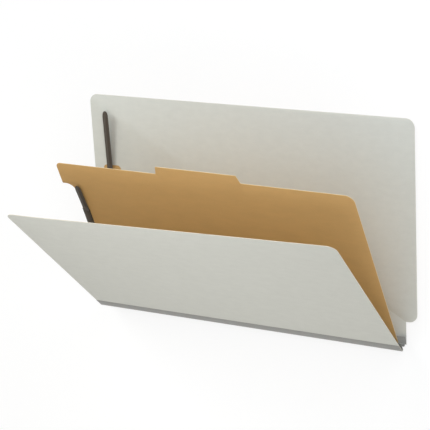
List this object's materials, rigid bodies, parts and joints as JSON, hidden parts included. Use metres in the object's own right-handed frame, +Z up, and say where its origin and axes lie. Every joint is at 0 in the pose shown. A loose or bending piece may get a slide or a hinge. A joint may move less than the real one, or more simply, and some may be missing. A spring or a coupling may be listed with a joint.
{
  "type": "classification folder",
  "caption": "Landscape pressboard folder with a folding tape gusset at the spine, a kraft divider with index tab, and bendable metal fasteners.",
  "frame": {"origin": "middle of the back cover's outer face, which the folder lies on", "axes": "+X along the spine towards the end tab; +Y from the spine to the free edge of the back cover; +Z up, out of the inner face of the back cover"},
  "size_m": [0.3874, 0.2481, 0.1742],
  "materials": {
    "pressboard": "matte",
    "divider_kraft": "matte",
    "gusset_tape": "matte",
    "patch_kraft": "matte",
    "coated_steel": "satin"
  },
  "bodies": {
    "back_cover": {"back_cover": "pressboard", "back_edge_tape": "gusset_tape", "back_fastener_base": "coated_steel", "back_fastener_patch": "patch_kraft"},
    "back_upper_prong": {"back_upper_prong": "coated_steel"},
    "back_lower_prong": {"back_lower_prong": "coated_steel"},
    "rear_pleat_outer_leaf": {"rear_pleat_outer_leaf": "gusset_tape"},
    "rear_pleat_inner_leaf": {"rear_pleat_inner_leaf": "gusset_tape"},
    "centre_fold": {"centre_fold": "gusset_tape"},
    "divider_binding": {"divider_binding": "gusset_tape"},
    "divider": {"divider": "divider_kraft", "divider_fastener_base": "coated_steel"},
    "divider_front_upper_prong": {"divider_front_upper_prong": "coated_steel"},
    "divider_front_lower_prong": {"divider_front_lower_prong": "coated_steel"},
    "divider_rear_upper_prong": {"divider_rear_upper_prong": "coated_steel"},
    "divider_rear_lower_prong": {"divider_rear_lower_prong": "coated_steel"},
    "front_pleat_inner_leaf": {"front_pleat_inner_leaf": "gusset_tape"},
    "front_pleat_outer_leaf": {"front_pleat_outer_leaf": "gusset_tape"},
    "front_fold": {"front_fold": "gusset_tape"},
    "front_cover": {"front_cover": "pressboard", "front_edge_tape": "gusset_tape", "front_fastener_base": "coated_steel", "front_fastener_patch": "patch_kraft"},
    "front_upper_prong": {"front_upper_prong": "coated_steel"},
    "front_lower_prong": {"front_lower_prong": "coated_steel"}
  },
  "joints": [
    {"name": "rear_pleat_open", "type": "slide", "parent": "back_cover", "child": "centre_fold", "axis": [0, 0, 1], "range_m": [-0.0019, 0.01]},
    {"name": "rear_outer_leaf_turn", "type": "hinge", "parent": "back_cover", "child": "rear_pleat_outer_leaf", "pos_m": [-0.00635, -0.12225, 0.00103], "axis": [1, 0, 0], "range_deg": [-6.5, 33]},
    {"name": "rear_inner_leaf_turn", "type": "hinge", "parent": "centre_fold", "child": "rear_pleat_inner_leaf", "pos_m": [-0.00635, -0.12225, 0.00498], "axis": [-1, 0, 0], "range_deg": [-6.5, 33]},
    {"name": "divider_fan", "type": "hinge", "parent": "centre_fold", "child": "divider_binding", "pos_m": [-0.00635, -0.12225, 0.00579], "axis": [-1, 0, 0], "range_deg": [-84, 26]},
    {"name": "divider_turn", "type": "hinge", "parent": "divider_binding", "child": "divider", "pos_m": [-0.00635, -0.11928, 0.00733], "axis": [1, 0, 0], "range_deg": [-26, 6]},
    {"name": "front_pleat_open", "type": "slide", "parent": "divider_binding", "child": "front_fold", "axis": [0, -0.5948, 0.8039], "range_m": [-0.0019, 0.01]},
    {"name": "front_inner_leaf_turn", "type": "hinge", "parent": "divider_binding", "child": "front_pleat_inner_leaf", "pos_m": [-0.00635, -0.12262, 0.00649], "axis": [1, 0, 0], "range_deg": [-6.5, 33]},
    {"name": "front_outer_leaf_turn", "type": "hinge", "parent": "front_fold", "child": "front_pleat_outer_leaf", "pos_m": [-0.00635, -0.12497, 0.00967], "axis": [-1, 0, 0], "range_deg": [-6.5, 33]},
    {"name": "cover_turn", "type": "hinge", "parent": "front_fold", "child": "front_cover", "pos_m": [-0.00635, -0.12592, 0.01096], "axis": [-1, 0, 0], "range_deg": [-51, 16]},
    {"name": "back_upper_prong_bend", "type": "hinge", "parent": "back_cover", "child": "back_upper_prong", "pos_m": [-0.17308, 0.03492, 0.00214], "axis": [-1, 0, 0], "range_deg": [-102, 1.5]},
    {"name": "back_lower_prong_bend", "type": "hinge", "parent": "back_cover", "child": "back_lower_prong", "pos_m": [-0.17308, -0.03492, 0.00214], "axis": [1, 0, 0], "range_deg": [-103, 0.5]},
    {"name": "front_upper_prong_bend", "type": "hinge", "parent": "front_cover", "child": "front_upper_prong", "pos_m": [-0.18047, -0.02003, 0.11612], "axis": [1, 0, 0], "range_deg": [-98.2, 0.3]},
    {"name": "front_lower_prong_bend", "type": "hinge", "parent": "front_cover", "child": "front_lower_prong", "pos_m": [-0.18047, -0.06899, 0.0663], "axis": [-1, 0, 0], "range_deg": [-98, 0.5]},
    {"name": "divider_front_upper_prong_bend", "type": "hinge", "parent": "divider", "child": "divider_front_upper_prong", "pos_m": [-0.15676, 0.01309, 0.07783], "axis": [-0.9968, 0.0711, 0.037], "range_deg": [-97, 1.5]},
    {"name": "divider_front_lower_prong_bend", "type": "hinge", "parent": "divider", "child": "divider_front_lower_prong", "pos_m": [-0.16236, -0.04867, 0.04568], "axis": [0.9968, -0.0711, -0.037], "range_deg": [-28, 1.5]},
    {"name": "divider_rear_upper_prong_bend", "type": "hinge", "parent": "divider", "child": "divider_rear_upper_prong", "pos_m": [-0.15676, 0.01439, 0.07532], "axis": [0.9968, -0.0711, -0.037], "range_deg": [-97, 1.5]},
    {"name": "divider_rear_lower_prong_bend", "type": "hinge", "parent": "divider", "child": "divider_rear_lower_prong", "pos_m": [-0.16236, -0.04736, 0.04317], "axis": [-0.9968, 0.0711, 0.037], "range_deg": [-97, 1.5]}
  ],
  "couplings": [
    {"joint": "rear_outer_leaf_turn", "follows": "rear_pleat_open", "rad_per_m": 57.25},
    {"joint": "rear_inner_leaf_turn", "follows": "rear_pleat_open", "rad_per_m": 57.25},
    {"joint": "front_inner_leaf_turn", "follows": "front_pleat_open", "rad_per_m": 57.25},
    {"joint": "front_outer_leaf_turn", "follows": "front_pleat_open", "rad_per_m": 57.25},
    {"joint": "cover_turn", "follows": "divider_fan", "ratio": 0.6}
  ]
}
